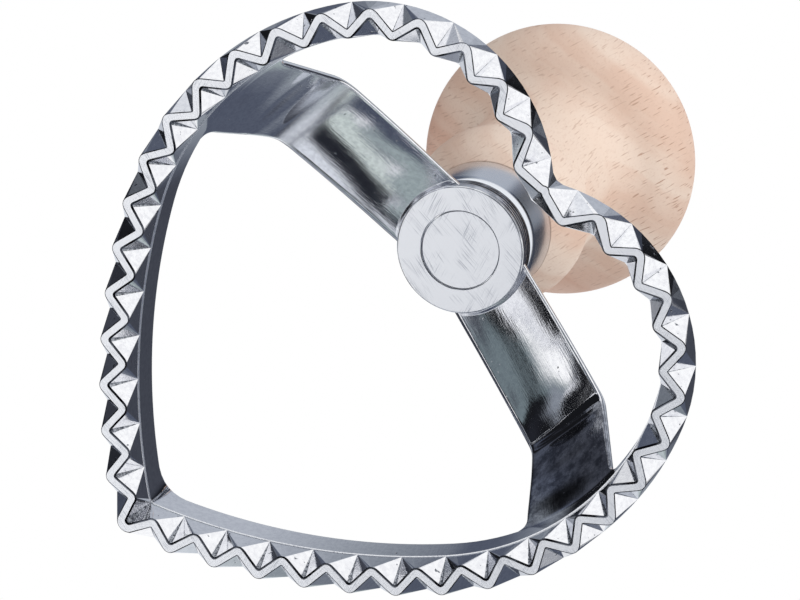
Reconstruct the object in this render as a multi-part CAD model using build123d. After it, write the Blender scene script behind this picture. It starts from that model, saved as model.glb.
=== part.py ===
from build123d import *
import math
import os

# A heart-shaped ravioli stamp: one casting with a fluted cutting edge, and a turned wooden knob
# that a steel pin and a ferrule hold on the casting's bridge.
# Millimetres and degrees. The cutting edge lies on z = 0 and the knob points up.
# The heart's point looks along -Y, its cleft along +Y, and the bridge crosses it along X.

# Heart outline: radii and turns of its arcs, on the middle line of the wall, from point to cleft
heart_width = 65.0       # over the blunt tooth tips at the cutting edge
point_radius = 2.6
point_turn = 31.1
side_turn = 26.0         # the side's radius follows from the width
flank_radius = 30.6
flank_turn = 61.3
lobe_radius = 17.4
cleft_radius = 3.5       # hollow arc between the lobes

# Fluted wall
teeth_per_side = 18      # beside the one on the point and the one in the cleft
cleft_gap = 1.35         # length of the last gap before the cleft, in pitches
tooth_depth = 3.15       # from outer to inner tooth tips at the cutting edge
tooth_flat = 0.7         # length of a blunt tip along the wall
valley_reach = 0.6       # how far a flute's valley passes the middle line at the cutting edge
flute_height = 3.0       # where the flutes run out of the wall
crease_height = 3.1      # widest line of the wall
flare_out = 0.24         # how far the crease stands outside the outer tooth tips
flare_in = 0.255         # and inside the inner ones
inner_lean = 0.245       # how far the inner face leans in from the crease to the rim
rim_height = 7.25
rim_thickness = 1.9

# Bridge
bridge_shift = 1.2       # from the heart's widest line towards the point
strap_width = 10.4       # at the bends
boss_end_width = 9.2     # where it runs into the boss
leg_spread = 1.5         # how much wider a leg gets down to the rim, on its side towards the point
strap_thickness = 1.6
strap_dish = 0.4         # depth of the shallow hollow along its underside
bend_spread = 23.0       # from the middle to each bend, on the middle of the strap's thickness
bend_height = 19.9
bend_radius = 4.5
slope_reach = 5.5        # from the middle to the top of each sloping run, inside the boss
slope_cover = 0.1        # metal over the strap in the boss
foot_flare = 2.2         # fillet where a leg meets the rim
foot_depth = 0.8         # how far a leg goes down into the wall
boss_radius = 7.45
boss_face_height = 28.0  # ground lower face of the boss
boss_thickness = 3.2
boss_chamfer = 0.2

# Pin through the boss into the knob
pin_head_radius = 4.5
pin_head_height = 2.0
pin_shank_radius = 2.75
pin_length = 34.0
pin_point = 2.0
pin_clearance = 0.08     # all round the pin's head and shank

# Ferrule
ferrule_radius = 7.65
ferrule_wall = 0.7
ferrule_height = 8.0
ferrule_shoulder = 1.5   # rounding of its lower edge
ferrule_lip = 0.25       # rounding of its upper edge
tenon_clearance = 0.05   # all round the knob's tenon

# Knob: radii and turns of the arcs of its outline, from the ferrule up
collar_step = 0.25       # how far the wood stands past the ferrule
bead_radius = 9.2
bead_heading = 45.0      # slope at which the wood leaves the ferrule
waist_lean = 12.0        # slope from the bead into the waist
waist_radius = 32.0
neck_length = 7.1        # straight part above the waist
cove_radius = 8.0
cove_turn = 55.0
brim_radius = 9.0
crown_edge_radius = 8.0
crown_edge_turn = 60.0
tenon_chamfer = 0.8
bore_spare = 1.0         # empty end of the knob's bore

# Values that follow from the driving dimensions
half_depth = tooth_depth / 2
half_width = heart_width / 2 - half_depth
flank_start = point_turn + side_turn
flank_end = flank_start + flank_turn


def sine(angle):
    return math.sin(math.radians(angle))


def cosine(angle):
    return math.cos(math.radians(angle))


# The side's radius puts the widest line at half the width, and the lobe turns on until the hollow
# cleft arc can end level on the middle plane.
side_radius = half_width - point_radius * sine(point_turn) - flank_radius * (1 - sine(flank_start))
side_radius = side_radius / (sine(flank_start) - sine(point_turn))
lobe_start_x = half_width - flank_radius * (1 - sine(flank_end))
lobe_centre_x = lobe_start_x - lobe_radius * sine(flank_end)
cleft_turn = math.degrees(math.asin(lobe_centre_x / (lobe_radius + cleft_radius)))

# Heights above the point of the middle line, then the place that centres the heart on the origin
flank_centre_rise = (
    point_radius * (1 - cosine(point_turn))
    + side_radius * (cosine(point_turn) - cosine(flank_start))
    + flank_radius * cosine(flank_start)
)
lobe_top_rise = flank_centre_rise + (lobe_radius - flank_radius) * cosine(flank_end) + lobe_radius
point_y = -lobe_top_rise / 2
flank_centre_y = point_y + flank_centre_rise
bridge_y = flank_centre_y - bridge_shift

# Offsets of the wall's faces from the middle line, outwards
crease_out = half_depth + flare_out
crease_in = -half_depth - flare_in
rim_in = crease_in - inner_lean
rim_out = rim_in + rim_thickness
rim_middle = (rim_in + rim_out) / 2

# Heights of the stack on the bridge
boss_top = boss_face_height + boss_thickness
ferrule_floor = boss_top + ferrule_wall
ferrule_top = boss_top + ferrule_height
pin_seat = boss_face_height + pin_head_height
pin_top = boss_face_height + pin_length


def tangent_chain(start, heading, arcs):
    """Arcs, each given by its radius and turn, that follow one another without a kink."""
    edges = []
    for radius, turn in arcs:
        edge = JernArc(start=start, tangent=heading, radius=radius, arc_size=turn)
        edges.append(edge)
        start = edge @ 1
        heading = edge % 1
    return edges


def half_outline(offset):
    """Right half of the heart, at a distance outside the middle line of the wall."""
    arcs = [
        (point_radius + offset, point_turn),
        (side_radius + offset, side_turn),
        (flank_radius + offset, flank_turn),
        (lobe_radius + offset, 180 + cleft_turn - flank_end),
        (cleft_radius - offset, -cleft_turn),
    ]
    return tangent_chain(Vector(0, point_y - offset), Vector(1, 0), arcs)


def heart_wire(offset, height):
    """Closed heart at one height."""
    right = Wire(half_outline(offset))
    left = right.mirror(Plane.YZ)
    return Pos(0, 0, height) * Wire(right.edges() + left.edges())


middle_line = Wire(half_outline(0))
half_length = middle_line.length
tooth_pitch = half_length / (teeth_per_side + cleft_gap)
tooth_places = [number * tooth_pitch for number in range(teeth_per_side + 1)] + [half_length]


def wall_frame(place):
    """Point of the middle line and the outward direction, at a length from the point of the heart."""
    mirrored = place < 0 or place > half_length
    length = abs(place) if place < 0 else min(place, 2 * half_length - place)
    point = middle_line.position_at(length, position_mode=PositionMode.LENGTH)
    along = middle_line.tangent_at(length, position_mode=PositionMode.LENGTH)
    outward = Vector(along.Y, -along.X)
    if mirrored:
        point = Vector(-point.X, point.Y)
        outward = Vector(-outward.X, outward.Y)
    return point, outward


def wall_point(place, offset):
    point, outward = wall_frame(place)
    return point + outward * offset


def flute(before, valley_place, after, side):
    """V-shaped cutter of one flute between two teeth; side is 1 outside the wall and -1 inside.

    Its valley starts past the middle line at the cutting edge and leaves the wall at flute_height.
    """
    spill = 1.3   # the cutter stands past the wall's face by this much of its own size
    drop = 0.2    # and below the cutting edge by this height
    flare = flare_out if side > 0 else flare_in
    wall_at_end = half_depth + flare * flute_height / crease_height
    outward = wall_frame(valley_place)[1] * side
    climb = (outward * (wall_at_end + valley_reach) + Vector(0, 0, flute_height)) * (1 / flute_height)
    valley = wall_point(valley_place, -side * valley_reach)
    first_mouth = wall_point(before + tooth_flat / 2, side * half_depth)
    last_mouth = wall_point(after - tooth_flat / 2, side * half_depth)
    first_corner = valley + (first_mouth - valley) * spill
    last_corner = valley + (last_mouth - valley) * spill
    corners = [valley, first_corner, valley + outward * 2 * tooth_depth, last_corner]
    profile = make_face(Polyline(*[corner - climb * drop for corner in corners], close=True))
    travel = climb * (crease_height + drop)
    return extrude(profile, amount=travel.length, dir=travel.normalized())


def flutes():
    """Every flute of the right half and, mirrored, of the left half."""
    cutters = []
    last = len(tooth_places) - 1
    for number in range(last):
        start = tooth_places[number]
        end = tooth_places[number + 1]
        outer = flute(start, (start + end) / 2, end, 1)
        cutters += [outer, mirror(outer, about=Plane.YZ)]
    for number, place in enumerate(tooth_places):
        before = tooth_places[number - 1] if number > 0 else -tooth_places[1]
        after = tooth_places[number + 1] if number < last else 2 * half_length - tooth_places[last - 1]
        inner = flute((before + place) / 2, place, (place + after) / 2, -1)
        cutters.append(inner)
        if 0 < number < last:
            cutters.append(mirror(inner, about=Plane.YZ))
    return cutters


def fluted_wall():
    """Heart-shaped wall, widest at the crease, with flutes on both faces down to the zigzag edge."""
    heights = [0, crease_height, rim_height]
    outer_faces = zip([half_depth, crease_out, rim_out], heights)
    inner_faces = zip([-half_depth, crease_in, rim_in], heights)
    outside = Solid.make_loft([heart_wire(*face) for face in outer_faces], ruled=True)
    inside = Solid.make_loft([heart_wire(*face) for face in inner_faces], ruled=True)
    return Part() + outside - inside - flutes()


def strap_runs():
    """Corners of the bridge's middle line in X and Z, from the right foot up to the boss."""
    rim_x = half_width - flank_radius
    rim_x += math.sqrt((flank_radius + rim_middle) ** 2 - bridge_shift ** 2)
    bend = Vector(bend_spread, bend_height)
    rim = Vector(rim_x, rim_height)
    foot = rim + (rim - bend).normalized() * (foot_depth + strap_thickness)
    top = Vector(slope_reach, boss_top - slope_cover - strap_thickness / 2)
    return foot, bend, top


def strap_side(spread):
    """Front view of the strap from its middle out to one edge: it widens downwards to a fillet on the rim."""
    at_bend = strap_width / 2
    at_foot = at_bend + spread
    foot_bottom = rim_height - foot_depth
    fillet_top = (at_foot, rim_height + foot_flare)
    fillet_end = (at_foot + foot_flare, rim_height)
    edge = [
        Line((0, foot_bottom), (at_foot + foot_flare, foot_bottom)),
        Line((at_foot + foot_flare, foot_bottom), fillet_end),
        RadiusArc(fillet_end, fillet_top, foot_flare),
        Line(fillet_top, (at_bend, bend_height)),
        Line((at_bend, bend_height), (boss_end_width / 2, boss_top)),
        Line((boss_end_width / 2, boss_top), (0, boss_top)),
        Line((0, boss_top), (0, foot_bottom)),
    ]
    return make_face(edge)


def bridge():
    """Arched strap with flared feet and a shallow hollow along the underside of its sloping runs."""
    foot, bend, top = strap_runs()
    right = [foot, bend, top]
    left = [Vector(-corner.X, corner.Y) for corner in reversed(right)]
    path = FilletPolyline(*right, *left, radius=bend_radius)
    side_view = Plane.XZ * trace(path, strap_thickness)
    slab = extrude(side_view, amount=strap_width, both=True)

    front_view = Plane.YZ * (strap_side(0) + mirror(strap_side(leg_spread), about=Plane.YZ))
    strap = slab & extrude(front_view, amount=heart_width, both=True)

    hollow_radius = ((strap_width / 2) ** 2 + strap_dish ** 2) / (2 * strap_dish)
    for side in (1, -1):
        start = Vector(side * bend.X, 0, bend.Y)
        end = Vector(side * top.X, 0, top.Y)
        along = (end - start).normalized()
        below = Vector(-side * along.Z, 0, -abs(along.X))
        axis_depth = strap_thickness / 2 - strap_dish + hollow_radius
        axis_start = start + along * bend_radius + below * axis_depth
        run = (end - start).length - bend_radius
        strap -= Plane(origin=axis_start, z_dir=along) * extrude(Circle(hollow_radius), amount=run)
    strap = Pos(0, bridge_y, 0) * strap
    # The feet end flush with the outside of the rim.
    return strap & extrude(make_face(heart_wire(rim_out, 0)), amount=boss_top)


def boss():
    """Round boss under the knob, with a ground lower face."""
    disc = Cylinder(boss_radius, boss_thickness, align=(Align.CENTER, Align.CENTER, Align.MIN))
    disc = chamfer(disc.edges().sort_by(Axis.Z)[0], boss_chamfer)
    return Pos(0, bridge_y, boss_face_height) * disc


def pin_hole():
    """Seat for the pin's head in the boss's face, and the through hole for its shank."""
    up = (Align.CENTER, Align.CENTER, Align.MIN)
    seat = Cylinder(pin_head_radius + pin_clearance, pin_head_height, align=up)
    through = Cylinder(pin_shank_radius + pin_clearance, boss_thickness, align=up)
    return Pos(0, bridge_y, boss_face_height) * (seat + through)


def heart_cutter():
    """The casting: fluted wall, bridge and boss in one piece."""
    return fluted_wall() + bridge() + boss() - pin_hole()


def turned(profile):
    """Solid of a half profile, drawn in X and Z, turned round the knob's axis."""
    return Pos(0, bridge_y, 0) * revolve(Plane.XZ * profile, axis=Axis.Z)


def handle_pin():
    """Headed pin, ground flush with the boss, with a tapered end in the knob."""
    outline = Polyline(
        (0, boss_face_height),
        (pin_head_radius, boss_face_height),
        (pin_head_radius, pin_seat),
        (pin_shank_radius, pin_seat),
        (pin_shank_radius, pin_top - pin_point),
        (pin_shank_radius / 2, pin_top),
        (0, pin_top),
        close=True,
    )
    return turned(make_face(outline))


def ferrule():
    """Drawn steel cup between the boss and the knob, with a rounded shoulder and a hole for the pin."""
    hole = pin_shank_radius + pin_clearance
    bore = ferrule_radius - ferrule_wall
    outline = Polyline(
        (hole, boss_top),
        (ferrule_radius, boss_top),
        (ferrule_radius, ferrule_top),
        (bore, ferrule_top),
        (bore, ferrule_floor),
        (hole, ferrule_floor),
        close=True,
    )
    profile = make_face(outline)
    corners = profile.vertices()
    shoulder = corners.sort_by_distance((ferrule_radius, boss_top))[0]
    profile = fillet(shoulder, ferrule_shoulder)
    inner = profile.vertices().sort_by_distance((bore, ferrule_floor))[0]
    profile = fillet(inner, ferrule_shoulder - ferrule_wall)
    lip = profile.vertices().sort_by_distance((ferrule_radius, ferrule_top))[0]
    profile = fillet(lip, ferrule_lip)
    return turned(profile)


def wooden_knob():
    """Turned beech knob: tenon in the ferrule, bead, waist, cove under the head, and a domed crown."""
    tenon = ferrule_radius - ferrule_wall - tenon_clearance
    bore = pin_shank_radius + pin_clearance
    start = Vector(ferrule_radius + collar_step, ferrule_top)
    grip_heading = Vector(cosine(bead_heading), sine(bead_heading))
    grip = [(bead_radius, 90 - bead_heading + waist_lean), (waist_radius, -waist_lean)]
    lower = tangent_chain(start, grip_heading, grip)
    neck = Line(lower[-1] @ 1, lower[-1] @ 1 + Vector(0, neck_length))
    head = [(cove_radius, -cove_turn), (brim_radius, cove_turn), (crown_edge_radius, crown_edge_turn)]
    upper = tangent_chain(neck @ 1, Vector(0, 1), head)
    # The crown ends level on the axis.
    crown_start = upper[-1] @ 1
    crown_arc = (crown_start.X / cosine(crown_edge_turn), 90 - crown_edge_turn)
    upper += tangent_chain(crown_start, upper[-1] % 1, [crown_arc])
    top = upper[-1] @ 1
    bore_end = pin_top + bore_spare
    inner = Polyline(
        (0, top.Y),
        (0, bore_end),
        (bore, bore_end),
        (bore, ferrule_floor),
        (tenon - tenon_chamfer, ferrule_floor),
        (tenon, ferrule_floor + tenon_chamfer),
        (tenon, ferrule_top),
        (start.X, start.Y),
    )
    return turned(make_face(lower + [neck] + upper + [inner]))


os.makedirs("parts", exist_ok=True)
pieces = {
    "heart_cutter": heart_cutter(),
    "handle_pin": handle_pin(),
    "ferrule": ferrule(),
    "wooden_knob": wooden_knob(),
}
for name, piece in pieces.items():
    export_step(piece, f"parts/{name}.step")
    box = piece.bounding_box()
    print(f"{name}: {piece.volume:.1f} mm3, {box.size.X:.2f} x {box.size.Y:.2f} x {box.size.Z:.2f} mm")
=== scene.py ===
import logging
import math
from dataclasses import dataclass, field
from enum import Enum
from typing import Sequence

import bmesh
import bpy
import numpy as np
from mathutils import Matrix, Vector


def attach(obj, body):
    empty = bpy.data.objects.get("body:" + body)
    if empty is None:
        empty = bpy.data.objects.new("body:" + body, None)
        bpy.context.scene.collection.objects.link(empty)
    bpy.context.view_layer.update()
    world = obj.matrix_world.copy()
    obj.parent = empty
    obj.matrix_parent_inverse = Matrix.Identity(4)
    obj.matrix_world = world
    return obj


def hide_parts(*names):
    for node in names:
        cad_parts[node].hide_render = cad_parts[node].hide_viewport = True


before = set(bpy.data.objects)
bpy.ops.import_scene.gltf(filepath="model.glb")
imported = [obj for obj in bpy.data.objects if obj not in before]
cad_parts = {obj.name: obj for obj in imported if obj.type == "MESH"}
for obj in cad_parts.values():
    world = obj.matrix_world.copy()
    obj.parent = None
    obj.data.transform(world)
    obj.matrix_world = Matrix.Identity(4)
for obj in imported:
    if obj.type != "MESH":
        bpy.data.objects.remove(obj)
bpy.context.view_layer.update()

MM = 0.001
LOG = logging.getLogger("ravioli_stamp")
SHARP_DEGREES = 30.0
WELD_MM = 1e-4
SEGMENTS = 160

Array = np.ndarray
Material = bpy.types.Material
Object = bpy.types.Object
Socket = bpy.types.NodeSocket
Tree = bpy.types.NodeTree
Pair = tuple[float, float]
Triple = tuple[float, float, float]
Stops = Sequence[tuple[float, str]]
Value = float | str | Sequence[float] | Socket

# Settings of shader nodes that are used more than once.
COLOUR = {"data_type": "RGBA"}
TINT = {"data_type": "RGBA", "blend_type": "MULTIPLY"}
SMOOTH = {"interpolation_type": "SMOOTHSTEP"}


class Node(Enum):
    """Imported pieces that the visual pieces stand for."""

    CUTTER = "heart_cutter"
    PIN = "handle_pin"
    FERRULE = "ferrule"
    KNOB = "wooden_knob"


class Slot(Enum):
    """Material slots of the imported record."""

    CASTING = "cutter_casting"
    PIN = "pin_steel"
    FERRULE = "ferrule_plate"
    WOOD = "knob_wood"


class WallFace(Enum):
    """Material index of the faces of the fluted wall."""

    POLISHED = 0
    GROUND = 1
    EDGE = 2
    ROOT = 3
    BAND = 4


class Cloth(Enum):
    """Cloths of the light tent, which the polished metal reflects."""

    WHITE = "#ffffff"
    PALE = "#d6dae1"
    SILVER = "#b3b8c1"
    MIST = "#c6cfcc"
    SAGE = "#a4b0af"
    MOSS = "#6f7b80"
    GREY = "#878d96"
    SLATE = "#525867"
    ASH = "#42454e"
    CHARCOAL = "#24262d"
    BLACK = "#17181b"


WHITE, PALE, SILVER, MIST, SAGE, MOSS, GREY, SLATE, ASH, CHARCOAL, BLACK = Cloth
Cloths = tuple[tuple[float, Cloth], ...]


def linear(code: str) -> tuple[float, ...]:
    """Turn an sRGB hex colour into linear light.

    Args:
        code: colour as "#rrggbb".

    Returns:
        Red, green, blue and an alpha of 1.
    """
    parts = np.array([int(code[i:i + 2], 16) for i in (1, 3, 5)]) / 255
    light = np.where(parts <= 0.04045, parts / 12.92, ((parts + 0.055) / 1.055) ** 2.4)
    return (*light.tolist(), 1.0)


def add(tree: Tree, kind: str, settings: dict[str, str | bool] | None = None, out: int | str = 0,
        stops: Stops = (), **links: Value) -> Socket | None:
    """Add one shader node, set it up and link its inputs.

    Args:
        tree: nodes that it joins.
        kind: Blender's name of the node type, without "ShaderNode".
        settings: properties of the node, by name.
        out: name or place of the output that is wanted.
        stops: places and hex colours of a colour ramp, in order.
        **links: inputs by name with underscores for spaces, or as input_0, input_1 by place; each value is a
            number, a hex colour, a vector or another node's output.

    Returns:
        The wanted output, or None for a node without outputs.
    """
    node = tree.nodes.new("ShaderNode" + kind)
    for name, value in (settings or {}).items():
        setattr(node, name, value)
    for name, value in links.items():
        key = int(name.split("_")[1]) if name.startswith("input_") else name.replace("_", " ")
        if isinstance(value, Socket):
            tree.links.new(value, node.inputs[key])
        else:
            node.inputs[key].default_value = linear(value) if isinstance(value, str) else value
    if stops:
        elements = node.color_ramp.elements
        elements[0].position, elements[1].position = stops[0][0], stops[-1][0]
        for place, _ in stops[1:-1]:
            elements.new(place)
        for element, (_, colour) in zip(elements, stops):
            element.color = linear(colour)
    return node.outputs[out] if node.outputs else None


def span(low: float, high: float, start: float = 0.0, end: float | Socket = 1.0) -> dict[str, float | Socket]:
    """Inputs of a node that maps the range from low to high onto the one from start to end."""
    return {"From_Min": low, "From_Max": high, "To_Min": start, "To_Max": end}


def relief(strength: float, height_mm: float) -> dict[str, float]:
    """Inputs of a node that turns a pattern into relief of some strength and height."""
    return {"Strength": strength, "Distance": height_mm * MM}


def pattern(tree: Tree, sizes_mm: float | Triple, detail: float = 2.0, fineness: float = 0.5,
            turn: Triple = (0, 0, 0)) -> Socket:
    """Uneven pattern in object coordinates.

    Args:
        tree: nodes of the material.
        sizes_mm: size of a repeat, or its sizes along x, y and z.
        detail: number of finer layers.
        fineness: how much the finer layers count.
        turn: rotation of the pattern in radians.

    Returns:
        Number from 0 to 1.
    """
    place = add(tree, "TexCoord", out="Object")
    if any(turn):
        place = add(tree, "Mapping", Vector=place, Rotation=turn)
    scale = (1 / (np.ones(3) * sizes_mm * MM)).tolist()
    place = add(tree, "VectorMath", {"operation": "MULTIPLY"}, input_0=place, input_1=scale)
    return add(tree, "TexNoise", Vector=place, Scale=1.0, Detail=detail, Roughness=fineness)


@dataclass(frozen=True)
class Finish:
    """Material with the way it was made; each kind of finish has its own shader.

    In all of them a bump is a strength and a depth in millimetres, a share is the part of a pattern's range that
    counts, and a range holds the four numbers of span().
    """

    name: str

    def shade(self, tree: Tree) -> Socket:
        """Add the nodes of the shader and give its output."""
        raise NotImplementedError

    def build(self) -> Material:
        """Make the material.

        Returns:
            The material.
        """
        material = bpy.data.materials.new(self.name)
        material.use_nodes = True
        tree = material.node_tree
        tree.nodes.clear()
        add(tree, "OutputMaterial", Surface=self.shade(tree))
        return material


@dataclass(frozen=True)
class PolishedCasting(Finish):
    """Aluminium die casting, polished bright: a mirror broken up by fine pits, streaks and a few casting flaws."""

    name: str = "Aluminium_die_cast_polished"
    colour: str = "#f2f3f6"
    roughness: Pair = (0.07, 0.12)
    dull_share: Pair = (0.45, 0.7)
    layers_mm: tuple[float | Triple, ...] = (2.4, (1.6, 0.16, 1.6), 0.22)
    heights_mm: Triple = (0.004, 0.0, 0.003)
    flaw_mm: float = 0.75
    flaw_share: Pair = (0.71, 0.76)
    flaw_colour: str = "#767a82"
    flaw_bump: Pair = (0.7, 0.02)
    crystal_mm: float = 0.55
    crystal_tints: Stops = ((0.36, "#f1f1f3"), (0.6, "#ffffff"))
    bend_mm: Triple = (22.1, 0.0, 20.3)
    bend_reach_mm: Pair = (0.8, 3.0)
    bend_roughness: float = 0.24
    leg_mm: Triple = (-26.3, 0.0, 13.4)
    leg_reach_mm: Pair = (5.2, 7.4)
    painted_blotch_mm: float = 3.0
    painted_reflection_tints: Stops = ((0.4, "#8d8f95"), (0.6, "#ffffff"))

    def shade(self, tree: Tree) -> Socket:
        """Add the nodes of the shader.

        Args:
            tree: nodes of the material.

        Returns:
            The shader.
        """
        # Sparse flaws: small grey dimples where the metal did not fill the mould.
        flaws = pattern(tree, self.flaw_mm, detail=1.5)
        low, high = self.flaw_share
        dimple = add(tree, "MapRange", Value=flaws, **span(low, high, 1.0, 0.0))
        normal = add(tree, "Bump", Height=dimple, **relief(*self.flaw_bump))
        # The skin of the casting waves over some millimetres, and polishing leaves streaks and fine pits in it.
        layers = [pattern(tree, size, fineness=0.55) for size in self.layers_mm]
        for layer, height in zip(layers, self.heights_mm):
            if height:
                normal = add(tree, "Bump", Height=layer, Normal=normal, **relief(1.0, height))
        tone = add(tree, "ValToRGB", stops=((low, self.colour), (high, self.flaw_colour)), Fac=flaws)
        # The skin's tone varies a little from crystal to crystal, and blotches of painted dark reflection darken one
        # leg.
        crystals = pattern(tree, self.crystal_mm, fineness=0.7)
        crystals = add(tree, "ValToRGB", stops=self.crystal_tints, Fac=crystals)
        painted_reflection_blotches = pattern(tree, self.painted_blotch_mm, detail=5.0, fineness=0.8)
        painted_reflection_blotches = add(tree, "ValToRGB", stops=self.painted_reflection_tints, Fac=painted_reflection_blotches)
        on_leg = self.fade(tree, self.leg_mm, self.leg_reach_mm, 1.0, 0.0)
        for factor, tint in ((1.0, crystals), (on_leg, painted_reflection_blotches)):
            tone = add(tree, "Mix", TINT, 2, Factor=factor, input_6=tone, input_7=tint)
        # Patches that the polishing wheel missed stay duller, and it does not get right into one bend.
        dull = add(tree, "MapRange", Value=layers[0], **span(*self.dull_share, *self.roughness))
        blur = self.fade(tree, self.bend_mm, self.bend_reach_mm, self.bend_roughness, dull)
        return add(tree, "BsdfPrincipled", Base_Color=tone, Metallic=1.0, Roughness=blur, Normal=normal)

    def fade(self, tree: Tree, middle_mm: Triple, reach_mm: Pair, inside: float, outside: float | Socket) -> Socket:
        """Number that changes with the distance from a line along y.

        Args:
            tree: nodes of the material.
            middle_mm: a point of the line.
            reach_mm: distances at which the change starts and ends.
            inside: number near the line.
            outside: number away from it.

        Returns:
            The number.
        """
        beside = add(tree, "VectorMath", {"operation": "MULTIPLY_ADD"}, input_0=add(tree, "TexCoord", out="Object"),
                     input_1=(1, 0, 1), input_2=tuple(-part * MM for part in middle_mm))
        distance = add(tree, "VectorMath", {"operation": "LENGTH"}, "Value", input_0=beside)
        near, far = reach_mm
        return add(tree, "MapRange", SMOOTH, Value=distance, **span(near * MM, far * MM, inside, outside))


@dataclass(frozen=True)
class GroundCasting(Finish):
    """The same casting ground flat on a belt: pale and satin, with clusters of fine scratches."""

    name: str = "Aluminium_ground_flat"
    tones: Stops = ((0.0, "#eef0f5"), (1.0, "#8f95a2"))
    roughness: float = 0.33
    scratch_mm: Pair = (6.0, 0.075)
    scratch_range: tuple[float, ...] = (0.6, 0.74, 0.0, 0.75)
    cluster_mm: float = 2.6
    cluster_range: tuple[float, ...] = (0.53, 0.66, 0.02, 0.75)
    angles: tuple[float, ...] = (0.03, -1.18, -0.12)
    grain_mm: float = 0.5
    grain_bump: Pair = (0.6, 0.012)
    cut_bump: Pair = (0.5, 0.01)

    def shade(self, tree: Tree) -> Socket:
        """Add the nodes of the shader.

        Args:
            tree: nodes of the material.

        Returns:
            The shader.
        """
        lines = 0.0
        length, width = self.scratch_mm
        # Real grinding marks are some microns wide: these are drawn wider, so that they show.
        for step, angle in enumerate(self.angles):
            scratches = pattern(tree, (length / (step + 1), width, length), detail=0.0, turn=(0, 0, angle))
            mark = add(tree, "MapRange", Value=scratches, **span(*self.scratch_range))
            # Scratches of one direction keep together in clusters.
            clusters = pattern(tree, self.cluster_mm + step, detail=1.0, turn=(step, 0, angle))
            worn = add(tree, "MapRange", Value=clusters, **span(*self.cluster_range))
            mark = add(tree, "Math", {"operation": "MULTIPLY"}, input_0=mark, input_1=worn)
            lines = add(tree, "Math", {"operation": "MAXIMUM"}, input_0=lines, input_1=mark)
        tone = add(tree, "ValToRGB", stops=self.tones, Fac=lines)
        grain = pattern(tree, self.grain_mm, detail=3.0, fineness=0.7)
        grain = add(tree, "Bump", Height=grain, **relief(*self.grain_bump))
        cut = add(tree, "Bump", {"invert": True}, Height=lines, Normal=grain, **relief(*self.cut_bump))
        return add(tree, "BsdfPrincipled", Base_Color=tone, Metallic=1.0, Roughness=self.roughness, Normal=cut)


@dataclass(frozen=True)
class MottledCasting(Finish):
    """Metal whose tone changes from patch to patch; on the land's edges, the flute valleys and the boss's upper side
    its dark tone is painted shade or painted dark reflection.
    """

    dark: str
    light: str
    roughness: float
    patch_mm: float
    dark_share: Pair = (0.42, 0.64)
    fineness: float = 0.5
    grain_bump: Pair | None = None

    def shade(self, tree: Tree) -> Socket:
        """Add the nodes of the shader.

        Args:
            tree: nodes of the material.

        Returns:
            The shader.
        """
        patches = pattern(tree, self.patch_mm, fineness=self.fineness)
        low, high = self.dark_share
        look = {"Base_Color": add(tree, "ValToRGB", stops=((low, self.dark), (high, self.light)), Fac=patches)}
        if self.grain_bump:
            look["Normal"] = add(tree, "Bump", Height=patches, **relief(*self.grain_bump))
        return add(tree, "BsdfPrincipled", Metallic=1.0, Roughness=self.roughness, **look)


@dataclass(frozen=True)
class PlatedSteel(Finish):
    """Drawn steel cup with dull nickel plating: soft bands of reflection with faint drawing lines round it."""

    name: str = "Steel_drawn_nickel_plated"
    colour: str = "#dfe3ea"
    roughness: float = 0.17
    line_mm: Triple = (30.0, 30.0, 0.35)
    line_bump: Pair = (0.5, 0.002)

    def shade(self, tree: Tree) -> Socket:
        """Add the nodes of the shader.

        Args:
            tree: nodes of the material.

        Returns:
            The shader.
        """
        lines = pattern(tree, self.line_mm, detail=1.0)
        bump = add(tree, "Bump", Height=lines, **relief(*self.line_bump))
        return add(tree, "BsdfPrincipled", Base_Color=self.colour, Metallic=1.0, Roughness=self.roughness,
                   Normal=bump)


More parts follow.
